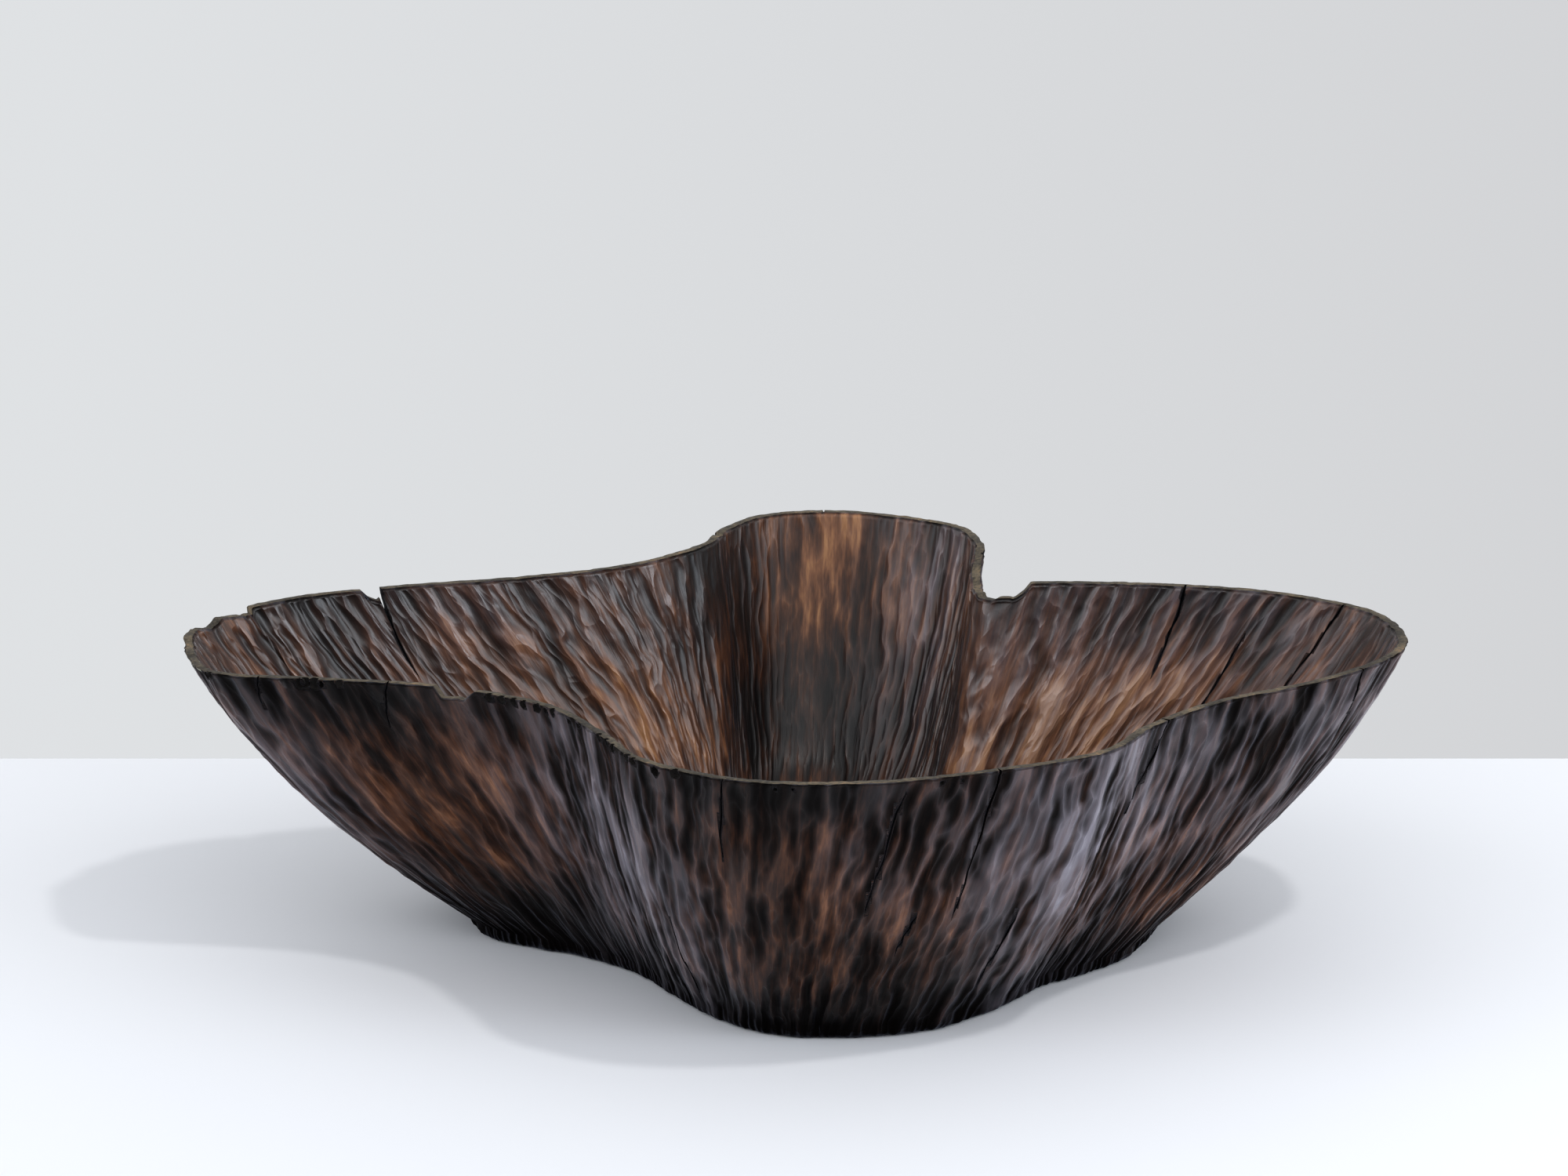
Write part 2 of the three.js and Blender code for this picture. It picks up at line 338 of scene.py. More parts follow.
def bowl_rows(stations, rim_length):
    """The rows of the bowl's surface, from the underside's edge over the rim to the floor.
    Each row is its points and its side, which is "out", "rim" or "in"."""
    count = len(stations)
    loss = rim_loss(stations, rim_length)
    flat = np.full(count, 1.0)

    def lowered(z):
        near_rim = np.clip((z - (HEIGHT - DAMAGE_REACH)) / DAMAGE_REACH, 0, 1)
        return z - loss * near_rim

    rows = []
    for i in range(ROUND_ROWS):
        z = FOOT_ROUND * (1 - math.cos(i / ROUND_ROWS * math.pi / 2))
        rows.append((outer_wall(stations, flat * z), "out"))
    top = HEIGHT - EDGE_DROP
    levels = np.concatenate([np.linspace(0, RIM_ROWS_FROM, WALL_ROWS - RIM_ROWS),
                             np.linspace(RIM_ROWS_FROM, 1, RIM_ROWS + 2)[1:]])
    for level in levels:
        z = flat * (FOOT_ROUND + (top - FOOT_ROUND) * level)
        rows.append((outer_wall(stations, lowered(z)), "out"))
    out = level_out(rim_curve(stations)[1])
    rim_z = lowered(flat * HEIGHT)
    for share, seed in RIM_FLAT:
        points = outer_wall(stations, rim_z)
        nibble = share * RIM_WALL + wander(count, seed, knots=420, size=0.5 * MM)
        points[:, :2] -= out * nibble[:, None]
        rows.append((points, "rim"))
    sweep_top = FLOOR + FLOOR_SWEEP / 2
    for level in levels[::-1]:
        z = flat * (sweep_top + (top - sweep_top) * level)
        rows.append((inner_wall(stations, lowered(z)), "in"))
    corner = inner_wall(stations, flat * FLOOR)
    start = rows[-1][0]
    reach = np.clip(FLOOR_SWEEP / np.linalg.norm(corner[:, :2], axis=1), 0, 1)[:, None]
    centre = np.array([0, 0, FLOOR - FLOOR_DISH])
    end = corner * (1 - reach) + centre * reach
    for i in range(1, SWEEP_ROWS + 1):
        t = i / SWEEP_ROWS
        points = start * (1 - t) ** 2 + corner * 2 * t * (1 - t) + end * t ** 2
        rows.append((points, "in"))
    return rows


def inside_outline(points, outline):
    """Which points lie inside a closed outline, by counting crossings."""
    a, b = outline, np.roll(outline, -1, axis=0)
    inside = np.zeros(len(points), bool)
    for (ax, ay), (bx, by) in zip(a, b):
        spans = (ay > points[:, 1]) != (by > points[:, 1])
        cross = ax + (points[:, 1] - ay) / (by - ay + 1e-12) * (bx - ax)
        inside ^= spans & (points[:, 0] < cross)
    return inside


def floor_patch(edge):
    """Points and faces that fill the floor inside the last row, close enough for marks, and
    how far each point is from that row."""
    low, high = edge[:, :2].min(0), edge[:, :2].max(0)
    across = np.arange(low[0], high[0], FLOOR_GRID)
    deep = np.arange(low[1], high[1], FLOOR_GRID)
    grid = np.array(np.meshgrid(across, deep)).reshape(2, -1).T
    grid[:, 0] += 0.5 * FLOOR_GRID * (np.round(grid[:, 1] / FLOOR_GRID) % 2)
    coarse = edge[::COARSE_STEP, :2]
    grid = grid[inside_outline(grid, coarse)]
    gap = np.min(np.linalg.norm(grid[:, None] - coarse[None], axis=2), axis=1)
    clear = gap > 0.7 * FLOOR_GRID
    grid = grid[clear]
    count = len(edge)
    points = [Vector(p) for p in np.vstack([edge[:, :2], grid])]
    loop = [(i, (i + 1) % count) for i in range(count)]
    faces = delaunay_2d_cdt(points, loop, [], 1, 1e-9)[2]
    radius = np.linalg.norm(grid, axis=1)
    rim_radius = np.linalg.norm(edge[:, :2], axis=1).mean()
    edge_z = edge[:, 2].mean()
    fall = np.clip(radius / rim_radius, 0, 1) ** 1.5
    z = FLOOR - FLOOR_DISH + (edge_z - FLOOR + FLOOR_DISH) * fall
    return np.column_stack([grid, z]), faces, gap[clear]


def bump_at(stations, shares, station, share, wide, tall):
    """1 at one place of the wall, falling to 0 around it."""
    apart = (stations - station + STATIONS / 2) % STATIONS - STATIONS / 2
    return np.exp(-(apart / wide) ** 2 - ((shares - share) / tall) ** 2)


def brushed(table, is_in, stations, shares):
    """The sum of a table's places on the wall, each with its strength, at each point."""
    total = np.zeros(shares.shape)
    for side, station, share, wide, tall, strength in table:
        place = bump_at(stations, shares, station, share, wide, tall)
        total += strength * place * (is_in == (side == "in"))
    return total


def add_floats(mesh, name, values):
    """Values stored on a mesh's points under a name."""
    layer = mesh.attributes.new(name, "FLOAT", "POINT")
    layer.data.foreach_set("value", np.asarray(values, np.float32))


def fine_bowl():
    """The closed fine surface, before any gouge mark, with what its tools and finish need
    stored on its points."""
    stations, rim_length = even_stations(COLUMNS)
    rows = bowl_rows(stations, rim_length)
    walls = np.array([points for points, _ in rows])
    sides = [side for _, side in rows]
    floor_points, floor_faces, floor_gap = floor_patch(walls[-1])
    row_count = len(rows)
    points = np.vstack([walls.reshape(-1, 3), floor_points])
    last = (row_count - 1) * COLUMNS

    faces = []
    for row in range(row_count - 1):
        for i in range(COLUMNS):
            a, b = row * COLUMNS + i, row * COLUMNS + (i + 1) % COLUMNS
            faces.append((a, b, b + COLUMNS, a + COLUMNS))
    faces += [tuple(last + v for v in face) for face in floor_faces]
    edge = [Vector(p) for p in walls[0][:, :2]]
    loop = [(i, (i + 1) % COLUMNS) for i in range(COLUMNS)]
    underside = delaunay_2d_cdt(edge, loop, [], 1, 1e-9)[2]
    faces += [tuple(reversed(face)) for face in underside]

    mesh = bpy.data.meshes.new("carved_bowl")
    mesh.from_pydata(points.tolist(), [], faces)

    # the way along the grain: round a cylinder of the rim's length, slanted, and up the wall
    radius = rim_length / (2 * math.pi)
    drop = HEIGHT - walls[..., 2]
    slant = np.zeros(drop.shape)
    for side, station, wide, slope in SLANTED:
        here = np.array([row_side == side for row_side in sides])[:, None]
        slant += slope * here * bump_at(stations, 0, station, 0, wide, 1)
    turn = np.arange(COLUMNS) * 2 * math.pi / COLUMNS + slant * drop / radius
    steps = np.linalg.norm(np.diff(walls, axis=0), axis=2)
    run = np.vstack([np.zeros((1, COLUMNS)), np.cumsum(steps, axis=0)])
    grain = np.empty((row_count, COLUMNS, 3))
    grain[..., 0] = radius * np.cos(turn)
    grain[..., 1] = radius * np.sin(turn)
    grain[..., 2] = run
    floor_grain = np.column_stack([floor_points[:, 1], floor_points[:, 2], floor_points[:, 0]])
    layer = mesh.attributes.new("grain", "FLOAT_VECTOR", "POINT")
    all_grain = np.vstack([grain.reshape(-1, 3), floor_grain]).astype(np.float32)
    layer.data.foreach_set("vector", all_grain.ravel())

    is_in = np.array([side == "in" for side in sides])[:, None] & np.ones(COLUMNS, bool)
    is_rim = np.array([side == "rim" for side in sides])[:, None] & np.ones(COLUMNS, bool)
    share = walls[..., 2] / HEIGHT
    all_stations = np.broadcast_to(stations, share.shape)
    gouged = 1.0 * ~is_rim
    for place in SHALLOW:
        gouged *= 1 - brushed([place], is_in, all_stations, share)
    gouged[:ROUND_ROWS] *= np.linspace(0.1, 1, ROUND_ROWS)[:, None]
    gouged[-SWEEP_ROWS:] *= np.linspace(1, SEAM_DEPTH, SWEEP_ROWS)[:, None]
    broad = np.clip(brushed(BROAD, is_in, all_stations, share), 0, 1)
    on_floor = np.ones(len(floor_points))
    for name, on_wall, floor_value in (
            ("rubbed", brushed(RUBBED, is_in, all_stations, share), 0.15),
            ("painted_sheen", brushed(PAINTED_SHEEN, is_in, all_stations, share), 0.1),
            ("weathered", brushed(WEATHERED, is_in, all_stations, share), 0.0),
            ("broad", broad, 1.0),
            ("gouged", gouged, np.clip(floor_gap / SEAM_FADE, SEAM_DEPTH, 1)),
            ("inside", is_in * 1.0, 1.0),
            ("height", share, 0.1)):
        add_floats(mesh, name, np.concatenate([on_wall.ravel(), on_floor * floor_value]))

    rim_rows = [row for row, side in enumerate(sides) if side == "rim"]
    on_rim = np.zeros(len(faces), bool)
    on_rim[rim_rows[0] * COLUMNS:rim_rows[-1] * COLUMNS] = True
    layer = mesh.attributes.new("sawn", "BOOLEAN", "FACE")
    layer.data.foreach_set("value", on_rim)
    mesh.polygons.foreach_set("use_smooth", [True] * len(faces))
    return mesh


# ---- nodes ----

def add(tree, kind, inputs=None, stops=(), **settings):
    """A node with its settings, its inputs' values or links, and a colour ramp's stops. A
    node given as an input is linked by its first output."""
    node = tree.nodes.new(kind)
    for name, value in settings.items():
        setattr(node, name, value)
    for key, value in (inputs or {}).items():
        if isinstance(value, bpy.types.Node):
            value = value.outputs[0]
        if isinstance(value, bpy.types.NodeSocket):
            tree.links.new(value, node.inputs[key])
        else:
            node.inputs[key].default_value = value
    if stops:
        elements = node.color_ramp.elements
        while len(elements) < len(stops):
            elements.new(0.5)
        for element, (place, colour) in zip(elements, stops):
            element.position = place
            element.color = linear(colour)
    return node


def linear(hex_colour):
    """A linear colour from sRGB hex."""
    parts = [int(hex_colour[i:i + 2], 16) / 255 for i in (1, 3, 5)]
    return [p / 12.92 if p <= 0.04045 else ((p + 0.055) / 1.055) ** 2.4 for p in parts] + [1.0]


def stretched(tree, grain, wide, tall, shift=(0, 0, 0)):
    """The grain's coordinates counted in lengths of a pattern, across and along it."""
    return add(tree, "ShaderNodeVectorMath",
               {0: grain, 1: (1 / wide, 1 / wide, 1 / tall), 2: shift}, operation="MULTIPLY_ADD")


def marks(tree, grain, width, length, seed):
    """How deep each place is in a gouge mark, from 0 on a ridge to 1 in the middle. The scoops
    are leaf-shaped and shoulder each other, their ridges waver as the tool did, and longer
    flutes run through them."""
    waver = add(tree, "ShaderNodeTexNoise",
                {"Vector": stretched(tree, grain, 4 * width, 0.6 * length),
                 "Scale": 1.0, "Detail": 2.0}, noise_dimensions="3D")
    centred = add(tree, "ShaderNodeVectorMath",
                  {0: waver.outputs["Color"], 1: (0.5, 0.5, 0.5)}, operation="SUBTRACT")
    straight = stretched(tree, grain, width, length, (seed * 7.3, seed * 3.1, seed * 5.7))
    bent = add(tree, "ShaderNodeVectorMath", {0: centred, 1: (2.8, 2.8, 0.8), 2: straight},
               operation="MULTIPLY_ADD")
    reach = add(tree, "ShaderNodeTexVoronoi",
                {"Vector": bent, "Scale": 1.0, "Randomness": 1.0, "Smoothness": 0.04},
                voronoi_dimensions="3D", feature="SMOOTH_F1").outputs["Distance"]
    rise = add(tree, "ShaderNodeMath", {0: reach, 1: reach}, operation="MULTIPLY")
    steep = add(tree, "ShaderNodeMath", {0: rise, 1: 1.7}, operation="MULTIPLY")
    scoop = add(tree, "ShaderNodeMath", {0: 1.0, 1: steep}, operation="SUBTRACT",
                use_clamp=True)
    flute = add(tree, "ShaderNodeTexNoise",
                {"Vector": stretched(tree, grain, 3.2 * width, 1.6 * length),
                 "Scale": 1.0, "Detail": 1.0}, noise_dimensions="3D")
    flute = add(tree, "ShaderNodeMapRange", {"Value": flute, "From Min": 0.3, "From Max": 0.7})
    return add(tree, "ShaderNodeMix", {0: FLUTE_SHARE, 2: scoop, 3: flute}, data_type="FLOAT")


def all_marks(tree, grain, broad):
    """Fine and broad gouge marks, each where it was used."""
    fine = marks(tree, grain, FINE_WIDTH, FINE_LENGTH, MARK_SEED)
    wide = marks(tree, grain, BROAD_WIDTH, BROAD_LENGTH, MARK_SEED + 1)
    return add(tree, "ShaderNodeMix", {0: broad, 2: fine, 3: wide}, data_type="FLOAT")


def gouging_tree(burnt, sawn):
    """Geometry nodes that sink the gouge marks into a surface and give it its finishes."""
    tree = bpy.data.node_groups.new("gouging", "GeometryNodeTree")
    tree.interface.new_socket("Surface", in_out="INPUT", socket_type="NodeSocketGeometry")
    for name in ("Fine Depth", "Broad Depth"):
        socket = tree.interface.new_socket(name, in_out="INPUT", socket_type="NodeSocketFloat")
        socket.subtype = "DISTANCE"
    tree.interface.new_socket("Surface", in_out="OUTPUT", socket_type="NodeSocketGeometry")
    given = tree.nodes.new("NodeGroupInput").outputs
    grain, broad, gouged, sawn_faces = (
        add(tree, "GeometryNodeInputNamedAttribute", {"Name": name}, data_type=kind).outputs[0]
        for name, kind in (("grain", "FLOAT_VECTOR"), ("broad", "FLOAT"), ("gouged", "FLOAT"),
                           ("sawn", "BOOLEAN")))
    depth = add(tree, "ShaderNodeMix", {0: broad, 2: given["Fine Depth"], 3: given["Broad Depth"]},
                data_type="FLOAT")
    sink = add(tree, "ShaderNodeMath", {0: all_marks(tree, grain, broad), 1: depth},
               operation="MULTIPLY")
    sink = add(tree, "ShaderNodeMath", {0: sink, 1: gouged}, operation="MULTIPLY")
    inwards = add(tree, "ShaderNodeMath", {0: sink, 1: -1.0}, operation="MULTIPLY")
    offset = add(tree, "ShaderNodeVectorMath",
                 {0: add(tree, "GeometryNodeInputNormal"), "Scale": inwards}, operation="SCALE")
    carved = add(tree, "GeometryNodeSetPosition", {"Geometry": given["Surface"], "Offset": offset})
    real = add(tree, "GeometryNodeRealizeInstances", {0: carved})
    dark = add(tree, "GeometryNodeSetMaterial", {"Geometry": real, "Material": burnt})
    both = add(tree, "GeometryNodeSetMaterial",
               {"Geometry": dark, "Selection": sawn_faces, "Material": sawn})
    add(tree, "NodeGroupOutput", {0: both})
    return tree


# ---- materials ----

def new_material(name):
    """An empty material and its node tree."""
    material = bpy.data.materials.new(name)
    material.use_nodes = True
    tree = material.node_tree
    tree.nodes.clear()
    return material, tree


def streaks(tree, grain, wide, tall, detail, seed):
    """Noise drawn out along the grain, from 0 to 1: a streak's width and length."""
    noise = add(tree, "ShaderNodeTexNoise",
                {"Vector": stretched(tree, grain, wide, tall, (seed, seed, seed)),
                 "Scale": 1.0, "Detail": detail, "Roughness": 0.6}, noise_dimensions="3D")
    return add(tree, "ShaderNodeMapRange", {"Value": noise, "From Min": 0.28, "From Max": 0.72})


def char_and_painted_shade(tree, deep, patch, fibre, blotch, rubbed, inside, foot):
    """How dark the wood is, from 0 on bare wood to 1 on black: char is left most in the scoops,
    less inside, least where cloths and hands rub; outside towards the foot, shade is painted in."""
    char_and_shade = 0.30
    for value, weight in ((deep, 0.60), (blotch, 0.30), (patch, 0.42), (fibre, 0.18),
                          (rubbed, -0.40)):
        char_and_shade = add(tree, "ShaderNodeMath", {0: value, 1: weight, 2: char_and_shade},
                   operation="MULTIPLY_ADD")
    # painted shade: outside, darker towards the foot
    char_and_shade = add(tree, "ShaderNodeMath", {0: char_and_shade, 1: foot}, operation="ADD")
    char_and_shade = add(tree, "ShaderNodeMath", {0: inside, 1: -0.12, 2: char_and_shade}, operation="MULTIPLY_ADD")
    return add(tree, "ShaderNodeMath", {0: char_and_shade, 1: 0.34}, operation="SUBTRACT", use_clamp=True)


def wax_gloss(tree, crest, foot, inside, gouged):
    """How strongly the wax shines. It was buffed on the ridges only, so the scoops and the
    foot are dull outside; inside it shines wherever the marks give it an edge."""
    outer = add(tree, "ShaderNodeMapRange", {"Value": crest, "To Min": 0.02, "To Max": 0.35})
    above_foot = add(tree, "ShaderNodeMath", {0: foot, 1: -2.2, 2: 1.0},
                     operation="MULTIPLY_ADD", use_clamp=True)
    outer = add(tree, "ShaderNodeMath", {0: outer, 1: above_foot}, operation="MULTIPLY")
    inner = add(tree, "ShaderNodeMapRange", {"Value": gouged, "To Min": 0.25, "To Max": 1.0})
    return add(tree, "ShaderNodeMix", {0: inside, 2: outer, 3: inner}, data_type="FLOAT")


def painted_sheen_streaks(tree, grain, deep, painted_sheen):
    """Painted sheen: how much cool grey is painted on the ridges, in streaks, in place of their
    glancing reflections.
    """
    on_ridge = add(tree, "ShaderNodeMapRange", {"Value": deep, "From Min": 0.72, "From Max": 0.20})
    sheen_share = add(tree, "ShaderNodeMath", {0: on_ridge, 1: painted_sheen}, operation="MULTIPLY")
    streaky = add(tree, "ShaderNodeMapRange",
                  {"Value": streaks(tree, grain, 5 * MM, 60 * MM, 2.0, 71.0), "To Min": 0.35,
                   "To Max": 1.0})
    return add(tree, "ShaderNodeMath", {0: sheen_share, 1: streaky}, operation="MULTIPLY",
               use_clamp=True)


def bare_wood(tree, weathered, patch, fibre):
    """Where weather has taken the finish off, with a ragged edge."""
    thin = add(tree, "ShaderNodeMath", {0: fibre, 1: 0.3}, operation="MULTIPLY")
    bare = add(tree, "ShaderNodeMath", {0: weathered, 1: patch, 2: thin},
               operation="MULTIPLY_ADD")
    bare = add(tree, "ShaderNodeMapRange", {"Value": bare, "From Min": 0.42, "From Max": 0.52})
    area = add(tree, "ShaderNodeMapRange", {"Value": weathered, "From Min": 0.2, "From Max": 0.4})
    return add(tree, "ShaderNodeMath", {0: bare, 1: area}, operation="MULTIPLY")


def burnt_waxed_hardwood():
    """Dense hardwood, gouged along the grain, charred, scraped, rubbed and waxed. To the eye
    it is black in the scoops and copper brown on the ridges, with a cool grey sheen painted in
    short streaks along the grain on some ridges and shade painted in towards the foot outside."""
    material, tree = new_material("burnt_waxed_hardwood")
    grain = add(tree, "ShaderNodeAttribute", attribute_name="grain").outputs["Vector"]
    broad, rubbed, painted_sheen, weathered, inside, gouged, height = (
        add(tree, "ShaderNodeAttribute", attribute_name=name).outputs["Fac"]
        for name in ("broad", "rubbed", "painted_sheen", "weathered", "inside", "gouged", "height"))
    deep = all_marks(tree, grain, broad)
    blotch = streaks(tree, grain, 32 * MM, 75 * MM, 3.0, 11.0)
    patch = streaks(tree, grain, 5.5 * MM, 24 * MM, 3.0, 31.0)
    # the real fibres are 0.2 mm thick and wouldn't show, so these are bundles of them
    fibre = streaks(tree, grain, 1.1 * MM, 22 * MM, 3.0, 57.0)
    # painted shade: outside, darker below a fifth of the height and most at the foot; the same mask
    # also dulls the wax there
    foot = add(tree, "ShaderNodeMapRange", {"Value": height, "From Min": 0.22, "From Max": 0.02,
                                            "To Min": 0.0, "To Max": 0.45})
    outside = add(tree, "ShaderNodeMath", {0: 1.0, 1: inside}, operation="SUBTRACT")
    foot = add(tree, "ShaderNodeMath", {0: foot, 1: outside}, operation="MULTIPLY")
    ridge = add(tree, "ShaderNodeMath", {0: 1.0, 1: deep}, operation="SUBTRACT")
    crest = add(tree, "ShaderNodeMath", {0: ridge, 1: 1.3}, operation="POWER")

    char_and_shade = char_and_painted_shade(tree, deep, patch, fibre, blotch, rubbed, inside, foot)
    colour = add(tree, "ShaderNodeValToRGB", {0: char_and_shade}, stops=[
        (0.0, "#ab7f58"), (0.18, "#835b40"), (0.38, "#583a29"), (0.58, "#38251d"),
        (0.78, "#1d1513"), (1.0, "#0d0a0a")])
    tint = add(tree, "ShaderNodeValToRGB", {0: fibre}, stops=[(0.0, "#c9b8ac"), (1.0, "#ffffff")])
    colour = add(tree, "ShaderNodeMix", {0: 0.5, 6: colour, 7: tint}, data_type="RGBA",
                 blend_type="MULTIPLY").outputs[2]
    # painted sheen in cool grey #8c8891 on the ridges, then the weathered end's bare wood in
    # #99968a
    for share, finish in ((painted_sheen_streaks(tree, grain, deep, painted_sheen), "#8c8891"),
                          (bare_wood(tree, weathered, patch, fibre), "#99968a")):
        colour = add(tree, "ShaderNodeMix", {0: share, 6: colour, 7: linear(finish)},
                     data_type="RGBA").outputs[2]

    relief = add(tree, "ShaderNodeMath", {0: ridge, 1: gouged}, operation="MULTIPLY")
    cut = add(tree, "ShaderNodeBump", {"Height": relief, "Strength": 1.0, "Distance": 4.0 * MM})
    normal = add(tree, "ShaderNodeBump",
                 {"Height": fibre, "Strength": 0.3, "Distance": 0.25 * MM, "Normal": cut})
    shader = add(tree, "ShaderNodeBsdfPrincipled", {
        "Base Color": colour, "Normal": normal, "IOR": 1.5,
        "Roughness": add(tree, "ShaderNodeMapRange",
                         {"Value": crest, "To Min": 0.48, "To Max": 0.30}),
        "Specular IOR Level": wax_gloss(tree, crest, foot, inside, gouged),
        "Sheen Weight": 0.08, "Sheen Roughness": 0.25, "Sheen Tint": (0.75, 0.8, 1.0, 1.0)})
    add(tree, "ShaderNodeOutputMaterial", {0: shader})
    return material


def sawn_weathered_rim():
    """The rim's flat saw cut, left unpolished: dry end grain with old wax and dust in its
    pores. To the eye it is a matt grey-brown band, flecked every 2 mm, with a few copper
    places."""
    material, tree = new_material("sawn_weathered_rim")
    grain = add(tree, "ShaderNodeAttribute", attribute_name="grain").outputs["Vector"]
    fleck = streaks(tree, grain, 2.2 * MM, 2.0 * MM, 4.0, 5.0)
    blotch = streaks(tree, grain, 25 * MM, 25 * MM, 2.0, 15.0)
    half = add(tree, "ShaderNodeMath", {0: blotch, 1: 0.5}, operation="MULTIPLY")
    value = add(tree, "ShaderNodeMath", {0: fleck, 1: 0.5, 2: half}, operation="MULTIPLY_ADD")
    colour = add(tree, "ShaderNodeValToRGB", {0: value}, stops=[
        (0.1, "#27231f"), (0.4, "#474138"), (0.7, "#6b604f"), (1.0, "#9c7b5b")])
    bump = add(tree, "ShaderNodeBump", {"Height": fleck, "Strength": 0.5, "Distance": 0.4 * MM})
    shader = add(tree, "ShaderNodeBsdfPrincipled", {
        "Base Color": colour, "Roughness": 0.6, "Normal": bump, "Specular IOR Level": 0.3})
    add(tree, "ShaderNodeOutputMaterial", {0: shader})
    return material


def raw_cracked_wood():
    """The torn sides of a drying crack or worm hole: unwaxed. To
    the eye it is nearly black and quite dull, mottled every 3 mm."""
    material, tree = new_material("raw_crack")
    place = add(tree, "ShaderNodeTexCoord").outputs["Object"]
    noise = add(tree, "ShaderNodeTexNoise",
                {"Scale": 1 / (3 * MM), "Detail": 3.0, "Vector": place})
    colour = add(tree, "ShaderNodeValToRGB", {0: noise}, stops=[(0.3, "#0b0908"), (0.8, "#1d1612")])
    shader = add(tree, "ShaderNodeBsdfPrincipled", {"Base Color": colour, "Roughness": 0.9})
    add(tree, "ShaderNodeOutputMaterial", {0: shader})
    return material


def matt_white_table():
    """A white board with a matt lacquer. To the eye it is even and cool, with soft shadows
    and no reflection of the bowl."""
    material, tree = new_material("matt_white_table")
    shader = add(tree, "ShaderNodeBsdfPrincipled",
                 {"Base Color": linear("#e8e9ec"), "Roughness": 0.8})
    add(tree, "ShaderNodeOutputMaterial", {0: shader})
    return material


# ---- cracks, the split and worm holes ----

def ribbon(sections):
    """A closed solid from rings of points, each ring the same count, capped at both ends."""
    rings = np.array(sections)
    count, sides = rings.shape[:2]
    faces = []
    for row in range(count - 1):
        for i in range(sides):
            a, b = row * sides + i, row * sides + (i + 1) % sides
            faces.append((a, b, b + sides, a + sides))
    faces.append(tuple(range(sides))[::-1])
    faces.append(tuple((count - 1) * sides + i for i in range(sides)))
    return rings.reshape(-1, 3), faces


def crack_cutter(side, top_station, low_station, top, low, width, depth, seed):
    """A drying crack that sways down the wall and closes at its lower end. Its sides stay
    parallel to CRACK_STRAIGHT deep, then meet at its bottom."""
    t = np.linspace(0, 1, CRACK_RINGS)
    rng = np.random.default_rng(seed)
    sway = np.interp(t, np.linspace(0, 1, 8), rng.uniform(-0.8, 0.8, 8)) * MM
    stations = top_station + (low_station - top_station) * t
    z = HEIGHT * (top + (low - top) * t)
    face = inner_wall if side == "in" else outer_wall
    centre = face(stations, z)
    out = wall_out(stations, np.clip(z, 0, HEIGHT))
    away = -out if side == "in" else out
    along = np.column_stack([-out[:, 1], out[:, 0]])
    open_top = 0.9 if top > 1 else 0.05
    opening = np.clip(np.minimum(1.2 - t, t * 6 + open_top), 0, 1) ** 0.8
    half = width * MM / 2 * opening
    half *= 1 + np.interp(t, np.linspace(0, 1, 12), rng.uniform(-0.3, 0.3, 12))
    # the gouge marks have already taken up to 2 mm off the face
    bottom = (depth + 2) * MM * (1 - t * 0.4)
    sections = []
    for i in range(CRACK_RINGS):
        ring = []
        for reach, sign in ((CRACK_LIP, -1), (CRACK_LIP, 1), (-CRACK_STRAIGHT, 1),
                            (-bottom[i], 0), (-CRACK_STRAIGHT, -1)):
            corner = centre[i].copy()
            corner[:2] += along[i] * (sway[i] + half[i] * sign) + away[i] * reach
            ring.append(corner)
        sections.append(ring)
    return ribbon(sections)


def split_cutter():
    """The open split: it gapes at the rim, then runs on down slantwise through the wall."""
    t = np.linspace(0, 1, SPLIT_RINGS)
    rng = np.random.default_rng(91)
    sway = np.interp(t, np.linspace(0, 1, 7), rng.uniform(-0.6, 0.6, 7)) * MM
    stations = np.full(SPLIT_RINGS, SPLIT_STATION)
    above = 2 * MM
    z = HEIGHT + above - (SPLIT_DEPTH + above) * t
    out = wall_out(stations, np.clip(z, 0, HEIGHT))
    along = np.column_stack([-out[:, 1], out[:, 0]])
    outside, inside = outer_wall(stations, z), inner_wall(stations, z)
    half = SPLIT_WIDTH / 2 * np.interp(t, [0, 0.12, 0.3, 0.6, 1], [1.0, 0.62, 0.42, 0.3, 0.06])
    slant = SPLIT_SLANT * np.interp(t, [0, 0.25, 0.5, 1], [0, 0.25, 1, 1])
    past = 3 * MM
    sections = []
    for i in range(SPLIT_RINGS):
        ring = []
        for point, way, sign, skew in ((outside[i], past, -1, 1), (outside[i], past, 1, 1),
                                       (inside[i], -past, 1, 0), (inside[i], -past, -1, 0)):
            corner = point.copy()
            corner[:2] += out[i] * way + along[i] * (sign * half[i] + sway[i] + skew * slant[i])
            ring.append(corner)
        sections.append(ring)
    return ribbon(sections)


def lump(centre, radii, seed):
    """A rough rounded lump."""
    rng = np.random.default_rng(seed)
    ball = bmesh.new()
    bmesh.ops.create_icosphere(ball, subdivisions=3, radius=1.0)
    points = np.array([v.co for v in ball.verts])
    faces = [tuple(v.index for v in f.verts) for f in ball.faces]
    ball.free()
    points *= 1 + rng.uniform(-0.07, 0.07, (len(points), 1))
    return points * np.array(radii) + np.array(centre), faces


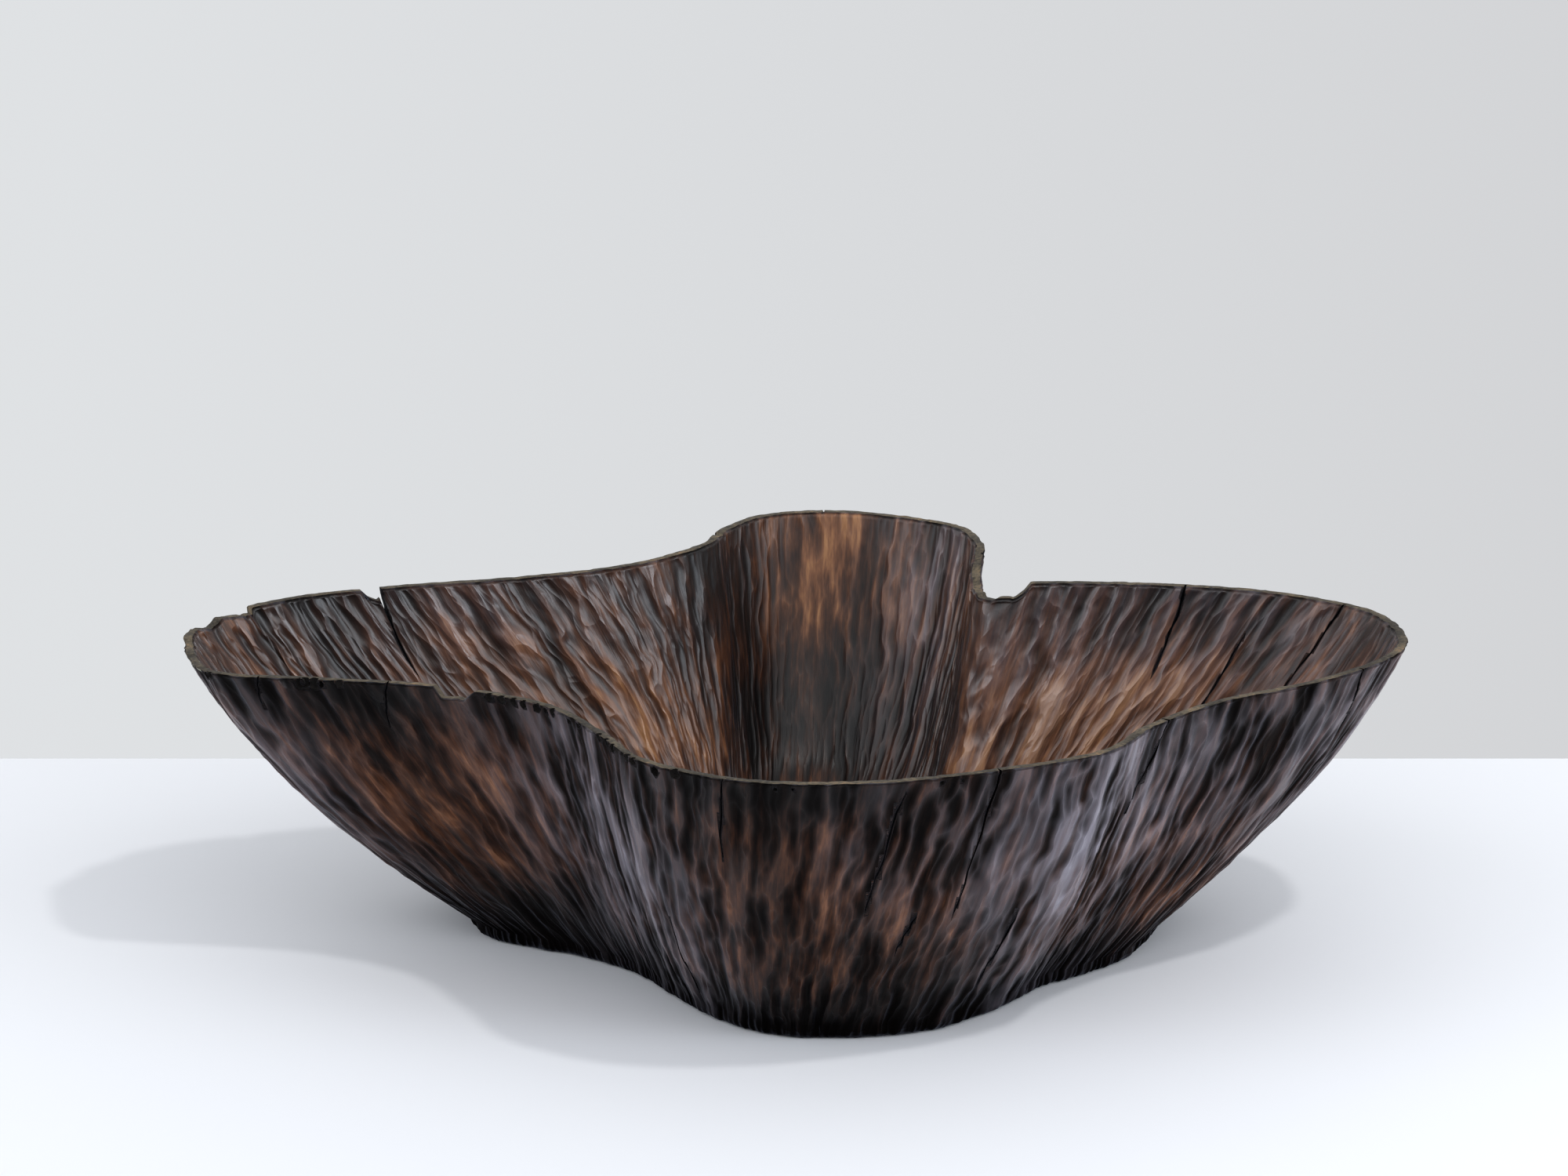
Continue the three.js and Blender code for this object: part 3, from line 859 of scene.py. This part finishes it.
def worm_holes():
    """Worm holes and crumbled places along the rim's outer edge."""
    rng = np.random.default_rng(17)
    parts = []
    for first, last, count, size in WORM_HOLES:
        for i in range(count):
            along = (i + rng.uniform(-0.3, 0.3)) / max(count - 1, 1)
            station = np.array([first + (last - first) * along])
            drop = rng.uniform(1.6, 3.2) * MM
            point = outer_wall(station, np.array([HEIGHT - drop]))[0]
            point[:2] -= wall_out(station, np.array([HEIGHT]))[0] * WORM_HOLE_DEPTH
            radius = size * rng.uniform(0.75, 1.2) * MM
            radii = (radius, radius, radius * rng.uniform(0.9, 1.3))
            parts.append(lump(point, radii, int(rng.integers(1000))))
    return parts


def joined(name, parts, material):
    """One flat-shaded cutter from closed parts, facing outwards."""
    points, faces, base = [], [], 0
    for part_points, part_faces in parts:
        points.append(part_points)
        faces += [tuple(base + v for v in face) for face in part_faces]
        base += len(part_points)
    mesh = bpy.data.meshes.new(name)
    mesh.from_pydata(np.vstack(points).tolist(), [], faces)
    mesh.polygons.foreach_set("use_smooth", [False] * len(faces))
    mesh.materials.append(material)
    turned = bmesh.new()
    turned.from_mesh(mesh)
    bmesh.ops.recalc_face_normals(turned, faces=turned.faces)
    turned.to_mesh(mesh)
    turned.free()
    cutter = bpy.data.objects.new(name, mesh)
    bpy.context.scene.collection.objects.link(cutter)
    return cutter


# ---- the bowl ----

def apply_modifiers(piece):
    """Make the piece's mesh what its modifiers made of it, and take them off."""
    graph = bpy.context.evaluated_depsgraph_get()
    mesh = bpy.data.meshes.new_from_object(piece.evaluated_get(graph),
                                           preserve_all_data_layers=True, depsgraph=graph)
    piece.modifiers.clear()
    piece.data = mesh
    mesh.name = "carved_bowl"


def drop_wafers(mesh):
    """Take out what a cut can leave without thickness: two faces back to back."""
    cleaned = bmesh.new()
    cleaned.from_mesh(mesh)
    first_face = {}
    wafers = []
    for face in cleaned.faces:
        corners = frozenset(corner.index for corner in face.verts)
        if corners in first_face:
            wafers += [face, first_face[corners]]
        first_face[corners] = face
    bmesh.ops.delete(cleaned, geom=wafers, context="FACES")
    cleaned.to_mesh(mesh)
    cleaned.free()


def carved_bowl():
    """The whole bowl: its fine surface is gouged, then cracked and bored."""
    raw = raw_cracked_wood()
    bowl = bpy.data.objects.new("carved_bowl", fine_bowl())
    bpy.context.scene.collection.objects.link(bowl)
    gouging = bowl.modifiers.new("gouging", "NODES")
    gouging.node_group = gouging_tree(burnt_waxed_hardwood(), sawn_weathered_rim())
    sockets = {item.name: item.identifier for item in gouging.node_group.interface.items_tree
               if item.in_out == "INPUT"}
    gouging[sockets["Fine Depth"]] = FINE_DEPTH
    gouging[sockets["Broad Depth"]] = BROAD_DEPTH
    apply_modifiers(bowl)

    cracks = [crack_cutter(*crack, seed=100 + i) for i, crack in enumerate(CRACKS)]
    for cutter in (joined("cracks", cracks + [split_cutter()], raw),
                   joined("worm_holes", worm_holes(), raw)):
        cut = bowl.modifiers.new(cutter.name, "BOOLEAN")
        cut.operation = "DIFFERENCE"
        cut.solver = "MANIFOLD"
        cut.object = cutter
        apply_modifiers(bowl)
        bpy.data.objects.remove(cutter)
    drop_wafers(bowl.data)
    return bowl


# ---- stage, light and camera ----

def table():
    """A white table top that ends a little behind the bowl."""
    mesh = bpy.data.meshes.new("table")
    back = high_corner.y + TABLE_BEHIND
    side = TABLE_SIZE / 2
    mesh.from_pydata([(-side, -side, 0), (side, -side, 0), (side, back, 0), (-side, back, 0)],
                     [], [(0, 1, 2, 3)])
    mesh.materials.append(matt_white_table())
    top = bpy.data.objects.new("table", mesh)
    bpy.context.scene.collection.objects.link(top)


def studio():
    """The room: a pale wall behind, a bright overcast front above a dark lower half, and a
    dimmer ceiling, which give the wax its soft highlights."""
    world = bpy.data.worlds.new("pale_studio")
    world.use_nodes = True
    tree = world.node_tree
    tree.nodes.clear()
    way = add(tree, "ShaderNodeSeparateXYZ",
              {0: add(tree, "ShaderNodeTexCoord").outputs["Generated"]}).outputs
    behind, above, overhead, across = (
        add(tree, "ShaderNodeMapRange", {"Value": way[axis], "From Min": low, "From Max": high})
        for axis, low, high in (("Y", -0.3, 0.1), ("Z", 0.2, 0.42), ("Z", 0.75, 0.9),
                                ("X", -0.13, 0.14)))
    upper = add(tree, "ShaderNodeMix",
                {0: overhead, 6: (1.42, 1.45, 1.5, 1), 7: (0.4, 0.41, 0.42, 1)},
                data_type="RGBA").outputs[2]
    front = add(tree, "ShaderNodeMix", {0: above, 6: (0.10, 0.105, 0.115, 1), 7: upper},
                data_type="RGBA").outputs[2]
    wall = add(tree, "ShaderNodeMix", {0: across, 6: linear("#d0d2d4"), 7: linear("#c6c7c9")},
               data_type="RGBA").outputs[2]
    room = add(tree, "ShaderNodeMix", {0: behind, 6: front, 7: wall}, data_type="RGBA").outputs[2]
    background = add(tree, "ShaderNodeBackground", {"Color": room, "Strength": 1.0})
    add(tree, "ShaderNodeOutputWorld", {0: background})
    bpy.context.scene.world = world


def lamps():
    """The key light, high on the right, and a cool softbox on either side."""
    for name, place, shape, size, power, tint in LAMPS:
        lamp = bpy.data.lights.new(name, "AREA")
        lamp.shape = shape
        lamp.size = size
        lamp.energy = power
        lamp.color = tint
        light = bpy.data.objects.new(name, lamp)
        light.location = place
        aim = Vector(LAMP_TARGET) - light.location
        light.rotation_euler = aim.to_track_quat("-Z", "Y").to_euler()
        light.visible_camera = False
        bpy.context.scene.collection.objects.link(light)


def camera():
    """Nearly 3 m in front, looking down on the bowl at about 16 degrees."""
    data = bpy.data.cameras.new("camera")
    data.lens = 126
    data.sensor_width = 36
    view = bpy.data.objects.new("camera", data)
    view.location = (-0.006, -2.781, 1.0057)
    view.rotation_euler = (math.radians(90 - LOOK_DOWN), 0, 0)
    bpy.context.scene.collection.objects.link(view)
    bpy.context.scene.camera = view


bpy.context.scene.view_settings.view_transform = "Standard"
bpy.context.scene.view_settings.look = "Medium High Contrast"
camera()
table()
studio()
lamps()
bowl = carved_bowl()
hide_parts("bowl")
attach(bowl, "root")
